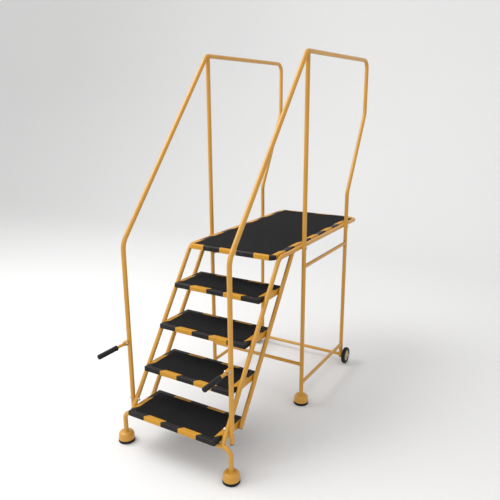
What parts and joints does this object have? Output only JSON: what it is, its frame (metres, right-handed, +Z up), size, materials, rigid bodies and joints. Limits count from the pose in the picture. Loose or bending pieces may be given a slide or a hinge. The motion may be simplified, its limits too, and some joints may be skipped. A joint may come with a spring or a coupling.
{
  "type": "rolling warehouse ladder",
  "caption": "Rolling warehouse step ladder with a long deck, guard rails, striped treads, cup feet, rear wheels and fold-down lifting handles.",
  "frame": {"origin": "on the floor, at the middle of the outline seen from above", "axes": "+X to the right of a climber, +Y from the steps towards the back of the deck, +Z up"},
  "size_m": [0.789, 1.983, 2.1127],
  "materials": {
    "frame_paint": "amber yellow gloss powder coat",
    "edge_stripe": "yellow and black striped glossy edge coating on the folded trays",
    "anti_slip_mat": "matt black ribbed anti-slip rubber",
    "foot_rubber": "black moulded rubber",
    "grip_rubber": "black ribbed rubber",
    "tyre": "black solid rubber",
    "hub_plastic": "cream moulded nylon",
    "bush_nylon": "natural nylon",
    "zinc_steel": "bright zinc plate",
    "plug_plastic": "black polyethylene"
  },
  "bodies": {
    "frame": {"axle": "zinc_steel", "axle_caps": "zinc_steel", "axle_cross_bar": "frame_paint", "axle_washers": "zinc_steel", "deck_mat": "anti_slip_mat", "deck_rail_rear": "frame_paint", "deck_stiffeners": "frame_paint", "deck_tray": "edge_stripe", "foot_cup_front_left": "frame_paint", "foot_cup_front_right": "frame_paint", "foot_cup_middle_left": "frame_paint", "foot_cup_middle_right": "frame_paint", "foot_pad_front_left": "foot_rubber", "foot_pad_front_right": "foot_rubber", "foot_pad_middle_left": "foot_rubber", "foot_pad_middle_right": "foot_rubber", "frame_bolts": "zinc_steel", "frame_nuts": "zinc_steel", "front_foot_tube": "frame_paint", "handle_lug_left": "frame_paint", "handle_lug_right": "frame_paint", "handle_pivot_left": "zinc_steel", "handle_pivot_right": "zinc_steel", "handrail_left": "frame_paint", "handrail_right": "frame_paint", "lower_side_bar_left": "frame_paint", "lower_side_bar_right": "frame_paint", "mid_cross_bar": "frame_paint", "mid_post_left": "frame_paint", "mid_post_right": "frame_paint", "rear_stringer_left": "frame_paint", "rear_stringer_right": "frame_paint", "stringer_and_deck_rail_left": "frame_paint", "stringer_and_deck_rail_right": "frame_paint", "tread_1_end_plates": "frame_paint", "tread_1_mat": "anti_slip_mat", "tread_1_tray": "edge_stripe", "tread_2_end_plates": "frame_paint", "tread_2_mat": "anti_slip_mat", "tread_2_tray": "edge_stripe", "tread_3_end_plates": "frame_paint", "tread_3_mat": "anti_slip_mat", "tread_3_tray": "edge_stripe", "tread_4_end_plates": "frame_paint", "tread_4_mat": "anti_slip_mat", "tread_4_tray": "edge_stripe", "tube_plugs": "plug_plastic", "upper_side_bar_left": "frame_paint", "upper_side_bar_right": "frame_paint"},
    "wheel_left": {"wheel_bush_left": "bush_nylon", "wheel_hub_left": "hub_plastic", "wheel_tyre_left": "tyre"},
    "wheel_right": {"wheel_bush_right": "bush_nylon", "wheel_hub_right": "hub_plastic", "wheel_tyre_right": "tyre"},
    "handle_left": {"handle_arm_left": "frame_paint", "handle_grip_left": "grip_rubber"},
    "handle_right": {"handle_arm_right": "frame_paint", "handle_grip_right": "grip_rubber"}
  },
  "joints": [
    {"name": "wheel_left_spin", "type": "hinge", "parent": "frame", "child": "wheel_left", "pos_m": [-0.3625, 0.7035, 0.058], "axis": [1, 0, 0], "continuous": true},
    {"name": "wheel_right_spin", "type": "hinge", "parent": "frame", "child": "wheel_right", "pos_m": [0.3625, 0.7035, 0.058], "axis": [1, 0, 0], "continuous": true},
    {"name": "handle_left_fold", "type": "hinge", "parent": "frame", "child": "handle_left", "pos_m": [-0.326, -0.7955, 0.59], "axis": [1, 0, 0], "range_deg": [0, 90]},
    {"name": "handle_right_fold", "type": "hinge", "parent": "frame", "child": "handle_right", "pos_m": [0.326, -0.7955, 0.59], "axis": [1, 0, 0], "range_deg": [0, 90]}
  ]
}
